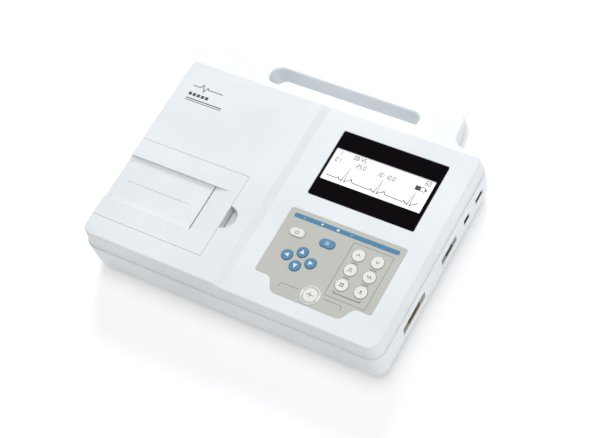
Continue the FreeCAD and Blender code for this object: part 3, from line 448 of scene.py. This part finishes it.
def add_band():
    """The blue band along the overlay's back edge, with four pale marks on it."""
    low, high = box_mm("keypad_overlay")
    top = high.z + INK / 2
    bar_y = high.y - 6.5
    blue = Layer(top)
    blue.patch(rounded(low.x + 5.6, high.x - 5.0, bar_y - 2.25, bar_y + 2.25, 2.2))
    blue.done("keypad_band", "ink_blue", "root", "key_blue")
    marks = Layer(top + INK)
    span = high.x - low.x - 10.6
    for share, size in ((0.10, 0.45), (0.27, 0.8), (0.42, 1.0), (0.55, 0.45)):
        x = low.x + 5.6 + span * share
        marks.patch(rounded(x - 1.3 * size, x + 1.3 * size, bar_y - size, bar_y + size, 0.4, 2))
    marks.done("band_marks", "ink_light", "root", "key_white")


def add_keypad_lines():
    """Frame round the six round keys, a dash below four of them, and the start key's brackets."""
    _, high = box_mm("keypad_overlay")
    keys = [box_mm(name) for name in ROUND_KEYS]
    left = min(k[0].x for k in keys)
    right = max(k[1].x for k in keys)
    back = max(k[1].y for k in keys)
    front = min(k[0].y for k in keys)
    lines = Layer(high.z + INK / 2)
    lines.line(rounded(left - 3.2, right + 4.2, front - 7.0, back + 3.4, 0.8, 3), 0.5, closed=True)
    for name in ROUND_KEYS:
        k_low, k_high = box_mm(name)
        x, y = (k_low.x + k_high.x) / 2, k_low.y - 1.3
        if k_low.y > front + 1.0:
            lines.line([(x - 3.2, y), (x + 3.2, y)], 1.0)
    lines.line([(left + 3.4, front - 0.4), (left + 3.4, front - 2.3), (right - 3.4, front - 2.3),
                (right - 3.4, front - 0.4)], 1.0)
    start_low, start_high = box_mm("key_start")
    centre = (start_low + start_high) / 2
    for side in (-1, 1):
        x_in, x_out = centre.x + side * 12.5, centre.x + side * 30.0
        tip = (x_out + side * 1.6, centre.y - 3.4)
        lines.line([(x_in, centre.y + 1.4), (x_out, centre.y + 1.4), tip], 0.5)
    lines.done("keypad_lines", "ink_mid", "root", "overlay_grey")


def key_layer(name):
    """The middle of a key's top face, and an empty layer that lies on it."""
    low, high = box_mm(name)
    return (low.x + high.x) / 2, (low.y + high.y) / 2, Layer(high.z)


def finish_mark(layer, name, pale=False):
    """Every key's mark rides on its own key."""
    material, slot = ("ink_light", "key_white") if pale else ("ink_dark", "black_plastic")
    layer.done(name + "_mark", material, name, slot)


def arrow_marks():
    reach = 2.7
    for name, angle in zip(ARROW_KEYS, (180, 0, 90, 270)):
        x, y, layer = key_layer(name)
        corners = [math.radians(a) for a in (angle, angle + 130, angle - 130)]
        layer.patch([(x + reach * math.cos(a), y + reach * math.sin(a)) for a in corners])
        finish_mark(layer, name, pale=True)


def lead_marks():
    for name, flip in (("key_lead_up", 1), ("key_lead_down", -1)):
        x, y, layer = key_layer(name)
        layer.line([(x - 1.8, y - 0.9 * flip), (x, y + 1.1 * flip), (x + 1.8, y - 0.9 * flip)], 0.55)
        finish_mark(layer, name)


def gain_mark():
    x, y, layer = key_layer("key_gain")
    layer.line([(x - 2.2, y - 1.6), (x - 1.0, y - 1.6), (x - 1.0, y + 1.6), (x + 1.0, y + 1.6),
                (x + 1.0, y - 1.6), (x + 2.2, y - 1.6)], 0.5)
    finish_mark(layer, "key_gain")


def filter_mark():
    x, y, layer = key_layer("key_filter")
    wave = [(x - 2.4 + 4.8 * i / 24, y + 1.3 * math.sin(2 * math.pi * i / 12)) for i in range(25)]
    layer.line(wave, 0.45)
    finish_mark(layer, "key_filter")


def mode_mark():
    x, y, layer = key_layer("key_mode")
    for dx, dy in ((-1.1, -1.1), (1.1, -1.1), (1.1, 1.1), (-1.1, 1.1)):
        layer.patch(rounded(x + dx - 0.7, x + dx + 0.7, y + dy - 0.7, y + dy + 0.7, 0.2, 2))
    finish_mark(layer, "key_mode")


def marker_mark():
    x, y, layer = key_layer("key_mark")
    layer.line([(x - 2.1, y - 1.2), (x + 2.1, y - 1.2)], 0.5)
    layer.patch([(x, y - 0.6), (x + 1.1, y + 1.4), (x - 1.1, y + 1.4)])
    finish_mark(layer, "key_mark")


def power_mark():
    x, y, layer = key_layer("key_power")
    layer.arc(x, y - 0.2, 1.6, 125, 415, 0.45)
    layer.line([(x, y + 0.2), (x, y + 2.0)], 0.45)
    finish_mark(layer, "key_power")


def menu_mark():
    x, y, layer = key_layer("key_menu")
    for dy in (-1.3, 0, 1.3):
        layer.line([(x - 2.0, y + dy), (x + 2.0, y + dy)], 0.45)
    finish_mark(layer, "key_menu", pale=True)


def start_marks():
    """The start key's pulse, and the two arcs printed on the ring around it."""
    x, y, layer = key_layer("key_start")
    layer.line([(x - 3.6, y), (x - 1.4, y), (x - 0.8, y + 2.2), (x, y - 1.8), (x + 0.6, y + 0.6),
                (x + 1.1, y), (x + 3.6, y)], 0.45)
    finish_mark(layer, "key_start")
    ring_low, ring_high = box_mm("start_key_ring")
    ring = Layer(ring_high.z)
    for start, end in ((20, 160), (200, 340)):
        ring.arc(x, y, (ring_high.x - ring_low.x) / 2 - 1.1, start, end, 0.5)
    ring.done("start_ring_marks", "ink_mid", "root", "overlay_grey")


def add_badge():
    """A generic pulse sign, a row of blocks and two plain bars, where a name would be."""
    low, high = box_mm("upper_case")
    _, door_high = box_mm("printer_door")
    x, y, top = low.x + 17.0, door_high.y + 71.0, high.z
    sign = Layer(top)
    sign.line([(x, y), (x + 8, y), (x + 10, y + 3.6), (x + 13, y - 3.6), (x + 15.4, y + 1.8),
               (x + 17, y), (x + 33, y)], 1.1)
    sign.done("pulse_sign", "ink_mid", "root", "black_plastic")
    bars = Layer(top)
    for i in range(5):
        bars.patch(rounded(x + i * 4.6, x + i * 4.6 + 3.4, y - 11.0, y - 7.6, 0.6, 3))
    bars.line([(x, y - 14.5), (x + 40, y - 14.5)], 1.0)
    bars.line([(x, y - 16.6), (x + 40, y - 16.6)], 0.7)
    bars.done("model_bars", "ink_dark", "root", "black_plastic")


def side_slab(name, outline, x0, x1, material):
    """A closed slab whose outline of (y, z) points faces right, from x0 to x1, in millimetres."""
    bm = bmesh.new()
    slab(bm, outline, x0, x1)
    for vert in bm.verts:
        y, z, x = vert.co
        vert.co = (x * MM, y * MM, z * MM)
    finish_piece(name, bm, MATERIALS[material], "root")


def add_d_inserts():
    """The dark contact blocks inside the two D shells, with two rows of contacts each."""
    pitch, row_rise, contact_r, lean = 2.76, 1.42, 0.55, 1.0
    for node, half, pins in (("serial_connector", 7.4, 5), ("patient_connector", 11.55, 8)):
        low, high = box_mm(node)
        y, z, mouth = (low.y + high.y) / 2, (low.z + high.z) / 2, high.x
        outline = [(y - half + lean, z - 3.0), (y + half - lean, z - 3.0), (y + half, z + 3.0),
                   (y - half, z + 3.0)]
        side_slab(node + "_block", outline, mouth - 1.2, mouth - 0.8, "black_plastic")
        for row, rise, count in ((1, row_rise, pins), (0, -row_rise, pins - 1)):
            for i in range(count):
                at = y + (i - (count - 1) / 2) * pitch
                disc = [(at + contact_r * math.cos(a), z + rise + contact_r * math.sin(a))
                        for a in turn(0, 330, 11)]
                side_slab(f"{node}_contact_{row}_{i}", disc, mouth - 0.9, mouth - 0.72, "brass")


add_camera()
add_studio()
dress_nodes()
add_window()
add_screen()
add_band()
add_keypad_lines()
arrow_marks()
lead_marks()
gain_mark()
filter_mark()
mode_mark()
marker_mark()
power_mark()
menu_mark()
start_marks()
add_badge()
add_d_inserts()
